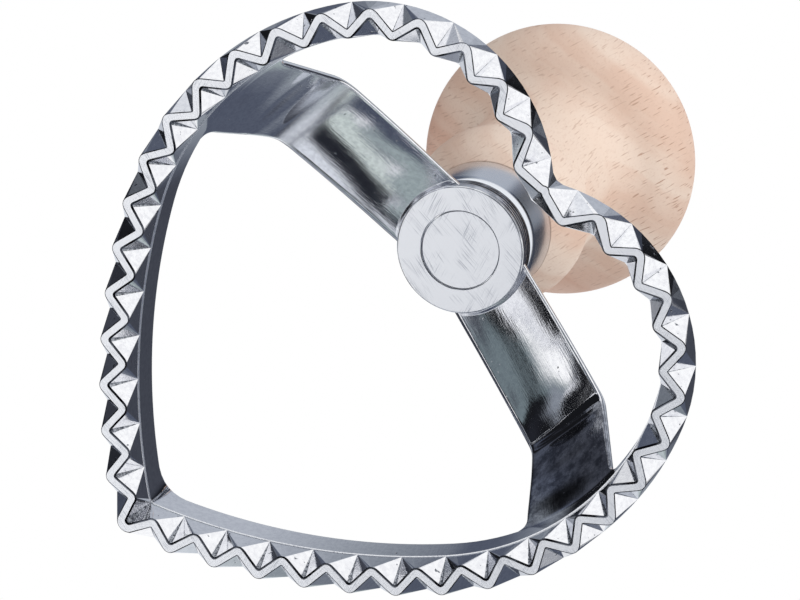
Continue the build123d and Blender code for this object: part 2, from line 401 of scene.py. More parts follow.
@dataclass(frozen=True)
class TurnedBeech(Finish):
    """Plain turned beech: pale and pinkish, with growth rings, fine pores and thin brown rays side by side."""

    name: str = "Beech_turned_sanded"
    tones: Stops = ((0.4, "#e6c6b2"), (0.57, "#f1dbca"))
    ring_mm: float = 4.2
    pith_mm: Triple = (14.0, 46.0, 0.0)
    taper: float = 0.12
    cloud_mm: Triple = (9.0, 9.0, 22.0)
    painted_shade_tint: str = "#fae7e1"
    painted_shade_side_mm: Pair = (9.0, -4.0)
    pore: str = "#cba58c"
    pore_mm: Triple = (0.25, 0.25, 1.2)
    pore_range: tuple[float, ...] = (0.52, 0.8, 0.0, 0.3)
    pore_bump: Pair = (0.35, 0.02)
    ray: str = "#ad7d62"
    ray_mm: Triple = (1.25, 0.18, 2.0)
    ray_turn: float = -1.83
    ray_share: Pair = (0.65, 0.8)
    ray_side: Triple = (-0.65, 0.75, 0.0)
    ray_side_mm: Pair = (13.0, 20.0)
    ray_strength: Pair = (0.36, 0.8)
    roughness: float = 0.55
    ior: float = 1.5

    def shade(self, tree: Tree) -> Socket:
        """Add the nodes of the shader.

        Args:
            tree: nodes of the material.

        Returns:
            The shader.
        """
        place = add(tree, "TexCoord", out="Object")
        # Growth rings round a pith that lies outside the knob, drawn as slow and uneven bands.
        from_pith = add(tree, "VectorMath", {"operation": "MULTIPLY_ADD"}, input_0=place, input_1=(1, 1, self.taper),
                        input_2=tuple(part * MM for part in self.pith_mm))
        distance = add(tree, "VectorMath", {"operation": "LENGTH"}, "Value", input_0=from_pith)
        rings = add(tree, "TexNoise", {"noise_dimensions": "1D"}, W=distance, Scale=1 / (self.ring_mm * MM),
                    Detail=3.0, Roughness=0.6)
        both = add(tree, "Math", {"operation": "ADD"}, input_0=rings, input_1=pattern(tree, self.cloud_mm))
        mean = add(tree, "Math", {"operation": "MULTIPLY"}, input_0=both, input_1=0.5)
        tone = add(tree, "ValToRGB", stops=self.tones, Fac=mean)
        # Painted shade: towards -y the wood is tinted a little darker and redder, for the warm shade on that side.
        pale_from, red_from = self.painted_shade_side_mm
        painted_shade_share = add(tree, "MapRange", SMOOTH, Value=add(tree, "SeparateXYZ", out="Y", Vector=place),
                     **span(pale_from * MM, red_from * MM))
        tone = add(tree, "Mix", TINT, 2, Factor=painted_shade_share, input_6=tone, input_7=self.painted_shade_tint)
        # Pores: a fine even speckle along the grain.
        pores = pattern(tree, self.pore_mm)
        speck = add(tree, "MapRange", Value=pores, **span(*self.pore_range))
        # Rays: thin plates from the pith outwards, cut here and there by the turned surface. They show darker on the
        # side where it cuts them squarely.
        rays = pattern(tree, self.ray_mm, detail=0.0, turn=(0, 0, self.ray_turn))
        aside = add(tree, "VectorMath", {"operation": "DOT_PRODUCT"}, "Value", input_0=place, input_1=self.ray_side)
        faint_to, strong_from = self.ray_side_mm
        strong = add(tree, "MapRange", SMOOTH, Value=aside,
                     **span(faint_to * MM, strong_from * MM, *self.ray_strength))
        dash = add(tree, "MapRange", SMOOTH, Value=rays, **span(*self.ray_share, 0.0, strong))
        for factor, mark in ((speck, self.pore), (dash, self.ray)):
            tone = add(tree, "Mix", COLOUR, 2, Factor=factor, input_6=tone, input_7=mark)
        bump = add(tree, "Bump", Height=pores, **relief(*self.pore_bump))
        return add(tree, "BsdfPrincipled", Base_Color=tone, Roughness=self.roughness, IOR=self.ior, Normal=bump)


def grid_faces(rows: int, columns: int) -> Array:
    """Quads of a grid of points that is stored row by row, with each row closed to a ring.

    Args:
        rows: number of rows.
        columns: number of points in a row.

    Returns:
        Array of four indices a face.
    """
    row, column = np.arange(rows - 1)[:, None] * columns, np.arange(columns)[None, :]
    following = (column + 1) % columns
    corners = [row + column, row + following, row + columns + following, row + columns + column]
    return np.stack(corners, -1).reshape(-1, 4)


def put_object(name: str, data: bpy.types.ID) -> Object:
    """Put a new object into the scene.

    Args:
        name: its name.
        data: its mesh, lamp or camera.

    Returns:
        The object.
    """
    thing = bpy.data.objects.new(name, data)
    bpy.context.scene.collection.objects.link(thing)
    return thing


def put_mesh(name: str, points: Array, faces: Sequence[Array], materials: Sequence[Material]) -> Object:
    """Put a mesh into the scene.

    Args:
        name: name of the object.
        points: points in metres, three columns.
        faces: arrays of point indices, each with one face a row.
        materials: materials in the order of the faces' material index.

    Returns:
        The object.
    """
    mesh = bpy.data.meshes.new(name)
    mesh.from_pydata(points.tolist(), [], [face for part in faces for face in part.tolist()])
    for material in materials:
        mesh.materials.append(material)
    return put_object(name, mesh)


def put_piece(name: str, points: Array, faces: Sequence[Array], materials: Sequence[Material], node: Node) -> Object:
    """Make a closed piece from points and faces, and hang it on the frame.

    Args:
        name: name of the piece.
        points: points in millimetres, three columns.
        faces: arrays of point indices, each with one face a row.
        materials: materials in the order of the faces' material index.
        node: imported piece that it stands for.

    Returns:
        The object.
    """
    piece = put_mesh(name, points * MM, faces, materials)
    mesh = piece.data
    build = bmesh.new()
    build.from_mesh(mesh)
    bmesh.ops.remove_doubles(build, verts=build.verts, dist=WELD_MM * MM)
    bmesh.ops.recalc_face_normals(build, faces=build.faces)
    build.to_mesh(mesh)
    build.free()
    mesh.shade_smooth()
    mesh.set_sharp_from_angle(angle=math.radians(SHARP_DEGREES))
    piece.modifiers.new("even_shading", "WEIGHTED_NORMAL").keep_sharp = True
    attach(piece, "root")
    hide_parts(node.value)
    LOG.info("%s: %d faces", name, len(mesh.polygons))
    return piece


def curve(first: Array, corner: Array, last: Array, t: Array) -> Array:
    """Quadratic curve (1 - t)^2 P + 2 t (1 - t) C + t^2 Q from the first point P past the corner C to the last, Q."""
    return first * (1 - t) ** 2 + 2 * t * (1 - t) * corner + last * t ** 2


def rounded_corners(before: Array, corner: Array, after: Array, reach: Pair, steps: int) -> Array:
    """Round one corner of many lines at once, with curve().

    Args:
        before: points before the corners, two columns.
        corner: the corners.
        after: points after the corners.
        reach: lengths of the two runs that the curve takes.
        steps: points on each curve.

    Returns:
        Points of the curves: corners, steps, two columns.
    """
    into = (corner - before) / np.linalg.norm(corner - before, axis=-1, keepdims=True)
    out = (after - corner) / np.linalg.norm(after - corner, axis=-1, keepdims=True)
    first, last = corner - into * reach[0], corner + out * reach[1]
    return curve(first[:, None], corner[:, None], last[:, None], np.linspace(0, 1, steps)[None, :, None])


def arc_points(centre: Pair, radius: float, start: float, end: float, count: int) -> Array:
    """Points of an arc, angles in degrees from the r axis towards z."""
    angle = np.radians(np.linspace(start, end, count))
    return np.stack([centre[0] + radius * np.cos(angle), centre[1] + radius * np.sin(angle)], -1)


@dataclass
class HeartOutline:
    """Middle line of the wall: five tangent arcs from the point to the cleft, and their mirror image.

    The arcs are those of the point, the side, the flank, the lobe and the cleft.
    """

    width: float = 61.85
    radii: tuple[float, ...] = (2.6, 0.0, 30.6, 17.4, 3.5)
    turns: Triple = (31.1, 26.0, 61.3)
    arcs: Array = field(init=False)
    half_length: float = field(init=False)
    widest_y: float = field(init=False)

    def __post_init__(self) -> None:
        """Work out the missing radius, the arcs' centres and lengths, and the place that centres the heart.

        The side's radius follows from the width, and the lobe turns until the hollow cleft arc ends level.
        """
        point, _, flank, lobe, cleft = self.radii
        first, second, third = np.radians(np.cumsum(self.turns))
        half = self.width / 2
        side = half - point * np.sin(first) - flank * (1 - np.sin(second))
        side /= np.sin(second) - np.sin(first)
        lobe_x = half - flank * (1 - np.sin(third)) - lobe * np.sin(third)
        swing = np.arcsin(lobe_x / (lobe + cleft))
        rise = point * (1 - np.cos(first)) + side * (np.cos(first) - np.cos(second)) + flank * np.cos(second)
        top = rise + (lobe - flank) * np.cos(third) + lobe
        self.widest_y = rise - top / 2
        radius = np.array([point, side, flank, lobe, -cleft])
        start = np.array([0, first, second, third, np.pi + swing])
        end = np.array([first, second, third, np.pi + swing, np.pi])
        length = np.abs(radius * (end - start))
        # Each arc's point is its centre plus its radius times the outward direction (sin, -cos).
        step = radius[:, None] * np.stack([np.sin(end) - np.sin(start), np.cos(start) - np.cos(end)], -1)
        begin = np.array([0, -top / 2]) + np.vstack([[0, 0], np.cumsum(step, 0)[:-1]])
        centre = begin - radius[:, None] * np.stack([np.sin(start), -np.cos(start)], -1)
        offset = np.concatenate([[0], np.cumsum(length)[:-1]])
        self.arcs = np.column_stack([offset, length, start, end, radius, centre])
        self.half_length = float(length.sum())

    def at(self, place: Array, offset: Array) -> Array:
        """Points beside the middle line.

        Args:
            place: lengths along the line from the heart's point, once round.
            offset: distance outwards.

        Returns:
            Points with x and y in millimetres.
        """
        once = np.mod(place, 2 * self.half_length)
        mirrored = once > self.half_length
        length = np.where(mirrored, 2 * self.half_length - once, once)
        row = np.searchsorted(self.arcs[:, 0], length, side="right") - 1
        start, run, heading, last_heading, radius, *centre = np.moveaxis(self.arcs[row], -1, 0)
        heading = heading + (last_heading - heading) * ((length - start) / run)
        x = centre[0] + np.sin(heading) * (radius + offset)
        y = centre[1] - np.cos(heading) * (radius + offset)
        return np.stack([np.where(mirrored, -x, x), y], -1)


@dataclass
class FlutedWall:
    """Heart-shaped wall with V-shaped flutes on both faces and a flat zigzag land on z = 0.

    Pairs of the crease and the ledge are offset and height, those of the rim, the valleys' roundings and the edges
    are for the outer and the inner face. A tip's rounding takes a length of its flank and one of its flat.
    """

    outline: HeartOutline
    teeth_per_side: int = 18
    cleft_gap: float = 1.35
    half_depth: float = 1.575
    flat: float = 0.7
    valley: float = 0.6
    tip_round: Pair = (0.55, 0.34)
    valley_round: Pair = (0.16, 0.3)
    steps: int = 5
    crease: Pair = (1.815, 3.1)
    crease_in: Pair = (-1.77, 3.34)
    ledge: Pair = (-1.895, 3.37)
    rim: Pair = (-0.175, -2.075)
    rim_height: float = 7.25
    rim_round: float = 0.3
    point_reach: float = 4.0
    edge_widths: Pair = (0.075, 0.16)
    edge_rows: int = 4

    def level(self, place: Array, offset: float | Array, height: float) -> Array:
        """Points beside the middle line at a height, with three columns."""
        flat = self.outline.at(place, np.broadcast_to(offset, place.shape))
        return np.concatenate([flat, np.full((*place.shape, 1), height)], -1)

    def places(self) -> tuple[Array, Array, Array]:
        """Places of the outer teeth, as lengths along the middle line.

        Returns:
            Middles of the teeth, and the valleys before and after each.
        """
        half, total = self.outline.half_length, 2 * self.outline.half_length
        side = np.arange(self.teeth_per_side + 1) * half / (self.teeth_per_side + self.cleft_gap)
        tooth = np.concatenate([side, [half], total - side[:0:-1]])
        after = (tooth + np.append(tooth[1:], total)) / 2
        return tooth, np.append(after[-1] - total, after[:-1]), after

    def zigzag(self, tip: Array, sign: float) -> Array:
        """One edge of the land, unrolled: length along the wall, and distance from its middle line.

        Args:
            tip: middle of each blunt tip.
            sign: 1 for the outer edge, -1 for the inner.

        Returns:
            For each tooth the rounded start and end of its tip, and the rounded valley after it.
        """
        total, blunt, cup = 2 * self.outline.half_length, self.flat / 2, self.valley_round[sign < 0]
        following, previous = np.append(tip[1:], tip[0] + total), np.append(tip[-1] - total, tip[:-1])
        deep, low = np.full_like(tip, sign * self.half_depth), np.full_like(tip, -sign * self.valley)
        last_bottom, left, right, bottom, next_left = (np.stack(line, -1) for line in (
            ((tip + previous) / 2, low), (tip - blunt, deep), (tip + blunt, deep), ((tip + following) / 2, low),
            (following - blunt, deep)))
        return np.concatenate([
            rounded_corners(last_bottom, left, right, self.tip_round, self.steps),
            rounded_corners(left, right, bottom, self.tip_round[::-1], self.steps),
            rounded_corners(right, bottom, next_left, (cup, cup), self.steps),
        ], 1)

    def edge_band(self, tip: Array, foot: Array, sign: float) -> Array:
        """Rounded edge between the land and the wall.

        Each row is curve() at one t from a point on the land, past the sharp edge, to a point on the wall, on the
        line from the edge to the point on the crease where that part of the wall ends.

        Args:
            tip: middle of each blunt tip.
            foot: points on the crease, one for each point of the edge.
            sign: 1 for the outer edge, -1 for the inner.

        Returns:
            Rows of points, from the land to the wall.
        """
        line = self.zigzag(tip, sign).reshape(-1, 2)
        ahead, behind = np.roll(line, -1, 0), np.roll(line, 1, 0)
        ahead[-1, 0] += 2 * self.outline.half_length
        behind[0, 0] -= 2 * self.outline.half_length
        along = ahead - behind
        across = np.stack([along[:, 1], -along[:, 0]], -1) / np.linalg.norm(along, axis=1, keepdims=True)
        width = self.edge_widths[sign < 0]
        land, sharp = (self.level(*points.T, 0.0) for points in (line + across * sign * width, line))
        run = foot - sharp
        wall = sharp + run * (width / np.linalg.norm(run, axis=1, keepdims=True))
        return curve(land, sharp, wall, np.linspace(0, 1, self.edge_rows)[:, None, None])

    def upper_profile(self) -> Array:
        """Outline of the wall above the crease.

        Returns:
            Offset and height of points from the outer to the inner crease.
        """
        line = np.array([self.crease, *((offset, self.rim_height) for offset in self.rim), self.ledge])
        corners = rounded_corners(line[:2], line[1:3], line[2:], (self.rim_round, self.rim_round), self.steps)
        return np.concatenate([line[:1], corners.reshape(-1, 2), [self.ledge, self.crease_in]])

    def upper_rings(self, place: Array) -> Array:
        """Points of the wall above the crease.

        In the heart's point the inner rim runs in a curve() between the places the reach before and after it.

        Args:
            place: lengths along the middle line, as a grid.

        Returns:
            A grid of points for each point of the upper profile.
        """
        profile, total, reach = self.upper_profile(), 2 * self.outline.half_length, self.point_reach
        rings = np.stack([self.level(place, *point) for point in profile])
        rim = slice(-2 - self.steps, -2)
        from_point = (place + total / 2) % total - total / 2
        t = np.clip(from_point / reach / 2 + 0.5, 0, 1)[..., None]
        ends = np.stack([self.level(np.array([-reach, 0, reach]), *point) for point in profile[rim]])
        rounded = curve(*np.moveaxis(ends, 1, 0)[:, :, None, None], t)
        rings[rim] = np.where(np.abs(from_point)[..., None] < reach, rounded, rings[rim])
        return rings

    def build(self, materials: Sequence[Material]) -> Object:
        """Make the wall.

        A flute is a fan of triangles from its end on the crease to its rounded valley on the land. Between two
        flutes the wall runs from a blunt tip to the crease, and four points a pitch carry the upper profile: crease,
        rounded rim, and a small ledge on the inner face where the halves of the mould met.
        The inner face has the same flutes half a pitch on.

        Args:
            materials: materials in the order of WallFace.

        Returns:
            The object.
        """
        tooth, before, after = self.places()
        steps, count = self.steps, len(tooth)
        later, earlier = np.roll(np.arange(count), -1), np.roll(np.arange(count), 1)
        place = np.stack([before, (before + tooth) / 2, tooth, (tooth + after) / 2], 1)
        rings = self.upper_rings(place)
        blocks = []
        for tip, sign, line in ((tooth, 1.0, rings[0, :, 0]), (after, -1.0, rings[-1, :, 2])):
            # The crease points that the two ends of a tip, and the valley after it, run up to.
            foot = np.repeat(np.stack([line, line[later], line[later]], 1), steps, 1)
            blocks.append(self.edge_band(tip, foot.reshape(-1, 3), sign).reshape(-1, 3))
        blocks.append(rings.reshape(-1, 3))
        number = np.split(np.arange(sum(map(len, blocks))), np.cumsum([len(block) for block in blocks[:-1]]))
        rows, rows_in = (block.reshape(self.edge_rows, count, -1) for block in number[:2])
        low, low_in = rows[-1], rows_in[-1]
        above = number[2].reshape(len(rings), *place.shape)
        crease, crease_in = above[0], above[-1]
        fans = self.fans(low, crease[later, 0], later)
        fans_in = self.fans(low_in, crease_in[later, 2], later)
        valley, valley_in = slice(steps + 1, 2 * steps - 2), slice(steps, 2 * steps - 1)
        facets = fans[:valley.start] + fans[valley.stop:] + fans_in[:valley_in.start] + fans_in[valley_in.stop:]
        facets += self.patches(low, np.concatenate([crease, crease[later, :1]], 1))
        facets += self.patches(low_in, np.concatenate([crease_in[:, 2:], crease_in[later, :3]], 1))
        upper = number[2][grid_faces(len(rings), place.size)]
        edges = [block.reshape(-1)[grid_faces(self.edge_rows, block[0].size)] for block in (rows, rows_in)]
        # The flute valleys (ROOT) take painted shade from their material.
        # The rounded edges between land and wall (EDGE) take painted dark reflection from their material.
        groups = ((facets, WallFace.POLISHED, False), (fans[valley], WallFace.ROOT, False),
                  (fans_in[valley_in], WallFace.ROOT, False), ([upper[:-place.size]], WallFace.BAND, True),
                  ([upper[-place.size:]], WallFace.GROUND, True), (edges, WallFace.EDGE, True),
                  (self.land(rows[0], rows_in[0], earlier), WallFace.GROUND, False))
        faces = [part for group, _, _ in groups for part in group]
        piece = put_piece("fluted_wall", np.concatenate(blocks), faces, materials, Node.CUTTER)
        sizes = [sum(map(len, group)) for group, _, _ in groups]
        index = np.repeat([kind.value for _, kind, _ in groups], sizes).astype(np.int32)
        piece.data.polygons.foreach_set("material_index", index)
        piece.data.polygons.foreach_set("use_smooth", np.repeat([smooth for _, _, smooth in groups], sizes))
        return piece

    def fans(self, low: Array, apex: Array, later: Array) -> list[Array]:
        """Triangles of the flutes: from each apex to the end of a tip, the valley and the start of the next tip."""
        chain = np.concatenate([low[:, self.steps:], low[later, :self.steps]], 1)
        return [np.stack([chain[:, i], chain[:, i + 1], apex], 1) for i in range(chain.shape[1] - 1)]

    def patches(self, low: Array, crease: Array) -> list[Array]:
        """Faces of the wall between two flutes: from the flat of a tip to five points on the crease."""
        line = np.column_stack([crease, low[:, self.steps - 1], low[:, self.steps]])
        return [line[:, corners] for corners in ([5, 6, 2], [5, 1, 0], [5, 2, 1], [6, 3, 2], [6, 4, 3])]

    def land(self, low: Array, low_in: Array, earlier: Array) -> list[Array]:
        """Flat faces of the land: two for each pitch, from valley to tip and from tip to valley.

        Args:
            low: point numbers of the outer edge, a row for each outer tooth.
            low_in: point numbers of the inner edge, a row for each inner tooth, which follows the outer one.
            earlier: number of the tooth before each tooth.

        Returns:
            Two arrays of faces with many corners.
        """
        steps, last_in = self.steps, low_in[earlier]
        middle = 2 * steps + steps // 2
        start, end, rest = slice(None, steps), slice(steps - 1, middle + 1), slice(middle, None)
        rising = [low[earlier, rest], low[:, start], last_in[:, end][:, ::-1]]
        falling = [low[:, end], low_in[:, start][:, ::-1], last_in[:, rest][:, ::-1]]
        return [np.concatenate(rising, 1), np.concatenate(falling, 1)]


def turned_piece(name: str, profile: Array, axis: Pair, materials: Sequence[Material], node: Node,
                 segments: int = SEGMENTS) -> Object:
    """Turn a closed or axis-to-axis profile round an upright axis.

    Each profile point (r, z) gives a circle x = a + r cos t, y = b + r sin t, z round the axis at (a, b).

    Args:
        name: name of the piece.
        profile: points with radius and height; a closed profile repeats its first point at the end.
        axis: place of the axis.
        materials: materials of the piece.
        node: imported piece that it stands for.
        segments: points round the axis.

    Returns:
        The object.
    """
    angle = np.arange(segments) * 2 * np.pi / segments
    radius, height = profile[:, :1], profile[:, 1:]
    points = np.stack([axis[0] + radius * np.cos(angle), axis[1] + radius * np.sin(angle), height + 0 * angle], -1)
    return put_piece(name, points.reshape(-1, 3), [grid_faces(len(profile), segments)], materials, node)


@dataclass
class Bridge:
    """Arched strap from wall to wall, with flared feet, a hollow along its underside and the boss in its middle.

    Widths are those at the boss and at the bend, from the axis towards the cleft and towards the heart's point.
    A wave is height, length along, length across and shift, a dent is height, place along, place across, and reach
    along and across, and the fold is height, width, distance past the bend and slant. The hollow ends some way past
    the bend and fades over a length. Each half has its corner radii, from the boss to the foot.
    The pin's seat is radius and height, its edge width and height, and the boss's groove depth and spacing. The boss
    changes its finish at two heights over its face; above the second, towards the ferrule, its side is painted darker
    as shade.
    """

    axis_y: float
    foot_x: float
    wall_radius: float
    wall_shift: float
    cleft_widths: Pair = (4.6, 5.2)
    tip_widths: Pair = (5.8, 5.5)
    thickness: float = 1.6
    edge_height: float = 1.25
    tip_round: float = 0.45
    cleft_round: float = 0.22
    top_round: float = 1.0
    round_points: int = 6
    under_points: int = 49
    bend: Pair = (23.0, 20.6)
    slope_top: Pair = (5.5, 30.0)
    bow: float = 0.46
    corner_radii: tuple[tuple[float, ...], ...] = ((1.5, 190.0, 4.0, 5.0), (1.5, 160.0, 8.0, 5.0))
    run_step: float = 0.35
    arc_step: float = 0.5
    arc_count: int = 12
    rim_height: float = 7.25
    foot_depth: float = 2.2
    foot_lean: float = 0.057
    foot_flare: float = 2.2
    leg_spread: float = 1.2
    hollow: float = 0.4
    hollow_end: Pair = (6.0, 9.0)
    waves: tuple[tuple[float, ...], ...] = ((0.02, 24.0, 60.0, 0.4), (0.008, 9.0, 31.0, 1.9))
    leg_wave: Pair = (0.025, 6.5)
    dents: tuple[tuple[float, ...], ...] = (
        (0.14, -21.3, -6.2, 2.8, 3.0), (-0.2, -25.3, 3.0, 3.0, 5.0), (0.07, 32.4, 0.0, 1.2, 20.0))
    fold: tuple[float, ...] = (0.1, 0.4, 0.6, 0.5)
    boss_radius: float = 7.45
    boss_face: float = 28.0
    boss_top: float = 31.2
    boss_round: float = 0.25
    boss_rows: int = 40
    boss_groove: Pair = (0.05, 0.62)
    boss_finishes: Pair = (0.02, 1.6)
    pin_seat: Pair = (4.62, 30.0)
    seat_edge: Pair = (0.06, 0.05)
    pin_hole: float = 2.83

    def half_path(self, radii: Sequence[float]) -> tuple[Array, Array, Array]:
        """Middle line of one half, from the middle of the boss to the foot, with rounded corners.

        The line has straight runs, and at each corner an arc tangent to both runs. The long run bows up a little.

        Args:
            radii: radii of the arcs, from the boss to the foot.

        Returns:
            Points (x, z), directions, and lengths from the middle.
        """
        rim = np.array([self.foot_x, self.rim_height])
        bend, top = np.array(self.bend), np.array(self.slope_top)
        down = np.array([self.foot_lean, -1.0])
        foot = rim + down * self.foot_depth
        run = bend - top
        crest = (top + bend) / 2 + np.array([-run[1], run[0]]) / np.linalg.norm(run) * self.bow
        corners = [np.array([0.0, top[1]]), top, crest, bend, rim, foot]
        points, directions = [], []
        start = corners[0]
        for corner, after, radius in zip(corners[1:-1], corners[2:], radii):
            reach = np.linalg.norm(corner - start)
            into = (corner - start) / reach
            out = (after - corner) / np.linalg.norm(after - corner)
            turn = math.acos(float(np.clip(into @ out, -1, 1)))
            cut = radius * math.tan(turn / 2)
            count = max(2, int(reach / self.run_step))
            share = np.linspace(0, 1, count, endpoint=False)[:, None]
            points.append(start + (corner - into * cut - start) * share)
            directions.append(np.repeat(into[None], count, 0))
            count = max(self.arc_count, int(radius * turn / self.arc_step))
            angle = np.linspace(0, turn, count, endpoint=False)[:, None]
            inward = np.array([into[1], -into[0]])
            centre = corner - into * cut + inward * radius
            points.append(centre + radius * (into * np.sin(angle) - inward * np.cos(angle)))
            directions.append(into * np.cos(angle) + inward * np.sin(angle))
            start = corner + out * cut
        points.append(np.stack([start, foot]))
        directions.append(np.repeat((down / np.linalg.norm(down))[None], 2, 0))
        points, directions = np.concatenate(points), np.concatenate(directions)
        steps = np.linalg.norm(np.diff(points, axis=0), axis=1)
        return points, directions, np.concatenate([[0], np.cumsum(steps)])

    def underside(self, place: Array, across: Array, y: Array, bend_at: float) -> Array:
        """Height of the underside above a flat one.

        The hollow is h (1 - v^2) for v from -1 to 1 across the strap, and fades out over the bend. Hand polishing
        adds slow waves a cos(2 pi (s / p + y / q) + f) and shorter waves a cos(2 pi s / p) on the legs. One bend
        carries a low fold, a bell curve of the distance from it. These fade to the edges with 1 - v^4. Dents, bell
        curves of s and y, come on top and may reach the edge.

        Args:
            place: length along the strap from its middle, one a row.
            across: v, one a column.
            y: distance across the strap in millimetres, as a grid.
            bend_at: length at which the strap bends.

        Returns:
            Heights as a grid.
        """
        s, v = place[:, None], across[None, :]
        beyond, fade = self.hollow_end
        ease = np.clip((bend_at + beyond - np.abs(s)) / fade, 0, 1)
        rise = self.hollow * ease * ease * (3 - 2 * ease) * (1 - v ** 2)
        worn = sum(size * np.cos(2 * np.pi * (s / along + y / over) + shift)
                   for size, along, over, shift in self.waves)
        size, along = self.leg_wave
        worn = worn + size * np.cos(2 * np.pi * s / along) * np.clip(np.abs(s) - bend_at, 0, 1)
        dent = sum(size * np.exp(-((s - at) / along) ** 2 - ((y - beside) / over) ** 2)
                   for size, at, beside, along, over in self.dents)
        height, width, beyond, slant = self.fold
        ridge = -height * np.exp(-((s + bend_at + beyond + slant * v) / width) ** 2)
        return rise + (worn + ridge) * (1 - v ** 4) + dent

    def build_strap(self, polished: Material) -> Object:
        """Carry the section along the arch, from one foot to the other.

        The section has the waved underside between two rounded edges, the larger one towards the heart's point,
        and a flat top with rounded edges.

        Args:
            polished: material.

        Returns:
            The object.
        """
        (half, heading, length), (right_half, right_heading, right_length) = map(self.half_path, self.corner_radii)
        path = np.concatenate([half[:0:-1] * [-1, 1], right_half])
        along = np.concatenate([heading[:0:-1] * [1, -1], right_heading])
        place = np.concatenate([-length[:0:-1], right_length])
        bend_at = length[np.argmin(np.linalg.norm(half - np.array(self.bend), axis=1))]
        to_rim = np.where(place < 0, length[-1], right_length[-1]) - self.foot_depth
        from_rim = to_rim - np.abs(place)
        near = np.clip(1 - from_rim / (to_rim - bend_at), 0, 1)
        spread = np.clip(1 - from_rim / self.foot_flare, 0, 1)
        flare = self.foot_flare * (1 - np.sqrt(1 - spread ** 2))
        run = (self.boss_radius, bend_at)
        cleft = (np.interp(np.abs(place), run, self.cleft_widths) + flare)[:, None]
        tip = (np.interp(np.abs(place), run, self.tip_widths) + flare + self.leg_spread * near)[:, None]
        low, high, top, count = self.tip_round, self.cleft_round, self.top_round, self.round_points
        across = np.linspace(-1, 1, self.under_points)
        under = -tip + low + (tip + cleft - low - high) * (across[None, :] + 1) / 2
        rise = self.underside(place, across, under, bend_at)
        left = arc_points((low, low), low, 180, 270, count + 2)[:-1]
        right = arc_points((-high, high), high, 270, 360, count)[1:]
        right_top = arc_points((-top, self.edge_height - top), top, 0, 90, count)
        left_top = arc_points((top, self.edge_height - top), top, 90, 180, count)
        y = np.concatenate([left[:, 0] - tip, under, right[:, 0] + cleft, right_top[:, 0] + cleft,
                            left_top[:, 0] - tip], 1)
        flat = np.zeros_like(tip)
        lift = np.concatenate([left[:, 1] + rise[:, :1], rise, right[:, 1] + rise[:, -1:], right_top[:, 1] + flat,
                               left_top[:, 1] + flat], 1) - self.thickness / 2
        upward = np.stack([-along[:, 1], along[:, 0]], -1)
        # The feet follow the curve of the wall, an arc whose middle lies a little beside the strap's.
        curved = np.sqrt(self.wall_radius ** 2 - (y - self.wall_shift) ** 2)
        curved = curved - math.sqrt(self.wall_radius ** 2 - self.wall_shift ** 2)
        ease = (near * near * (3 - 2 * near))[:, None]
        x = path[:, :1] + upward[:, :1] * lift + np.sign(path[:, :1]) * curved * ease
        z = path[:, 1:] + upward[:, 1:] * lift
        points = np.stack([x, self.axis_y + y, z], -1)
        rows, columns = lift.shape
        caps = [np.arange(columns)[None, ::-1], np.arange(columns)[None] + (rows - 1) * columns]
        return put_piece("bridge_strap", points.reshape(-1, 3), [grid_faces(rows, columns), *caps], [polished],
                         Node.CUTTER)

    def build_boss(self, materials: Sequence[Material]) -> Object:
        """Turn the boss: ground face, side with turning grooves, and the seat and hole for the pin.

        The side is r - d (1 - cos(2 pi z / p)) / 2.

        Args:
            materials: materials of the face, of the side next to it, and of the rest of the side, which is painted
            darker as shade towards the ferrule.

        Returns:
            The object.
        """
        (seat, seat_top), (wide, deep), face = self.pin_seat, self.seat_edge, self.boss_face
        depth, spacing = self.boss_groove
        height = np.linspace(face + self.boss_round, self.boss_top, self.boss_rows)
        groove = depth * (1 - np.cos(2 * np.pi * (height - height[0]) / spacing)) / 2
        corner = (self.boss_radius - self.boss_round, face + self.boss_round)
        profile = np.concatenate([
            [[seat, face + deep], [seat + wide, face]],
            arc_points(corner, self.boss_round, 270, 360, self.round_points)[:-1],
            np.stack([self.boss_radius - groove, height], -1),
            [[self.pin_hole, self.boss_top], [self.pin_hole, seat_top], [seat, seat_top], [seat, face + deep]],
        ])
        piece = turned_piece("boss", profile, (0.0, self.axis_y), materials, Node.CUTTER)
        polygons = piece.data.polygons
        centres = np.zeros(len(polygons) * 3, np.float32)
        polygons.foreach_get("center", centres)
        # Faces above the second level, next to the ferrule, take the material with painted shade.
        levels = np.array(self.boss_finishes) + face
        polygons.foreach_set("material_index", np.searchsorted(levels * MM, centres[2::3]).astype(np.int32))
        return piece


@dataclass
class Pin:
    """Headed pin, ground flush with the boss; it sits a little to one side of its seat."""

    axis_y: float
    head_radius: float = 4.5
    face: float = 28.0
    head_top: float = 30.0
    edge: float = 0.05
    shank_radius: float = 2.75
    top: float = 62.0
    point: float = 2.0
    aside: Pair = (-0.036, 0.09)
    segments: int = 128

    def build(self, ground: Material) -> Object:
        """Turn the pin.

        Args:
            ground: material.

        Returns:
            The object.
        """
        head, shank = self.head_radius, self.shank_radius
        profile = np.array([
            [0, self.face], [head - self.edge, self.face], [head, self.face + self.edge], [head, self.head_top],
            [shank, self.head_top], [shank, self.top - self.point], [shank / 2, self.top], [0, self.top],
        ])
        axis = (self.aside[0], self.axis_y + self.aside[1])
        return turned_piece("pin", profile, axis, [ground], Node.PIN, self.segments)


